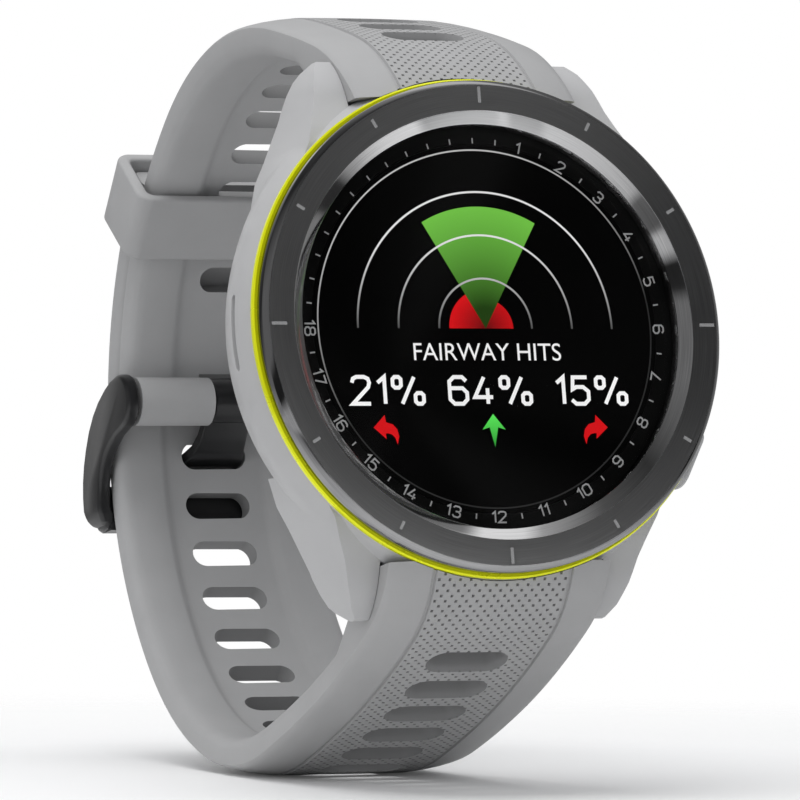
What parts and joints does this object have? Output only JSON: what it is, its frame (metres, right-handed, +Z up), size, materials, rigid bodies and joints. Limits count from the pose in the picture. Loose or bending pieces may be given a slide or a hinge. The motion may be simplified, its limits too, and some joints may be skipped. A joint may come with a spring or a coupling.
{
  "type": "golf gps watch",
  "caption": "Round golf GPS watch with a steel bezel, side buttons and a perforated silicone strap closed by a pin buckle, standing on its strap.",
  "frame": {"origin": "on the surface the watch stands on, under the centre of its bounding box", "axes": "+Z up, +Y from the dial toward the buckle, +X toward the wearer's three o'clock side; the dial leans back by eleven degrees"},
  "size_m": [0.0482, 0.0762, 0.0713],
  "materials": {
    "case_plastic": "light grey fibre-reinforced polymer, fine matt",
    "bezel_steel": "dark steel, circular brushed front with a polished inner bevel",
    "index_fill": "pale filler set in the index cuts",
    "accent_enamel": "yellow-green anodised ring",
    "seal_rubber": "black seal rubber",
    "cover_glass": "clear polished cover glass",
    "dial_print": "black printed ring with pale numbers",
    "screen": "dark lit screen with white, green and red drawing",
    "inner_plastic": "black moulded chassis",
    "circuit_board": "green solder mask",
    "cell_foil": "foil wrapped cell",
    "small_steel": "plain stainless steel",
    "contact_gold": "gold plated",
    "sensor_glass": "dark domed window",
    "latch_plastic": "black moulded",
    "strap_silicone": "light grey matt silicone",
    "buckle_coat": "black coated steel"
  },
  "bodies": {
    "watch": {"case_shell": "case_plastic", "bezel": "bezel_steel", "bezel_indices": "index_fill", "accent_ring": "accent_enamel", "bezel_seal": "seal_rubber", "crystal": "cover_glass", "dial_ring": "dial_print", "display_panel": "screen", "antenna_ring": "inner_plastic", "inner_frame": "inner_plastic", "main_board": "circuit_board", "battery": "cell_foil", "vibration_motor": "small_steel", "vent_mesh": "small_steel", "back_cover": "case_plastic", "charge_contacts": "contact_gold", "back_seal": "seal_rubber", "back_screws": "small_steel", "sensor_window": "sensor_glass", "sensor_board": "circuit_board", "button_switches": "circuit_board", "lower_strap": "strap_silicone", "upper_strap": "strap_silicone", "upper_lug_pin": "small_steel", "lower_lug_pin": "small_steel", "upper_latch_springs": "small_steel", "lower_latch_springs": "small_steel", "buckle_pin": "small_steel"},
    "buckle_frame": {"buckle_frame": "buckle_coat"},
    "buckle_tongue": {"buckle_tongue": "buckle_coat"},
    "keeper": {"keeper": "strap_silicone"},
    "upper_button": {"upper_button": "case_plastic", "upper_button_clip": "small_steel"},
    "middle_button": {"middle_button": "case_plastic", "middle_button_clip": "small_steel"},
    "lower_button": {"lower_button": "case_plastic", "lower_button_clip": "small_steel"},
    "upper_latch": {"upper_latch": "latch_plastic"},
    "lower_latch": {"lower_latch": "latch_plastic"}
  },
  "joints": [
    {"name": "buckle_swing", "type": "hinge", "parent": "watch", "child": "buckle_frame", "pos_m": [-0.0005, 0.02866, 0.03482], "axis": [1, 0, 0], "range_deg": [0, 1.5]},
    {"name": "tongue_swing", "type": "hinge", "parent": "buckle_frame", "child": "buckle_tongue", "pos_m": [-0.0005, 0.02866, 0.03482], "axis": [1, 0, 0], "range_deg": [0, 1.5]},
    {"name": "keeper_slide", "type": "hinge", "parent": "watch", "child": "keeper", "pos_m": [-0.0005, -0.00124, 0.03525], "axis": [1, 0, 0], "range_deg": [-20, 1.5]},
    {"name": "upper_button_press", "type": "slide", "parent": "watch", "child": "upper_button", "axis": [-0.8829, -0.0896, -0.4608], "range_m": [0, 0.0005], "stiffness_N_per_m": 400},
    {"name": "middle_button_press", "type": "slide", "parent": "watch", "child": "middle_button", "axis": [-1, 0, 0], "range_m": [0, 0.0005], "stiffness_N_per_m": 400},
    {"name": "lower_button_press", "type": "slide", "parent": "watch", "child": "lower_button", "axis": [-0.8829, 0.0896, 0.4608], "range_m": [0, 0.0005], "stiffness_N_per_m": 400},
    {"name": "upper_latch_slide", "type": "slide", "parent": "watch", "child": "upper_latch", "axis": [0, 0.1908, 0.9816], "range_m": [0, 0.0012], "stiffness_N_per_m": 300, "deforming": ["upper_latch_springs"]},
    {"name": "lower_latch_slide", "type": "slide", "parent": "watch", "child": "lower_latch", "axis": [0, -0.1908, -0.9816], "range_m": [0, 0.0012], "stiffness_N_per_m": 300, "deforming": ["lower_latch_springs"]}
  ]
}
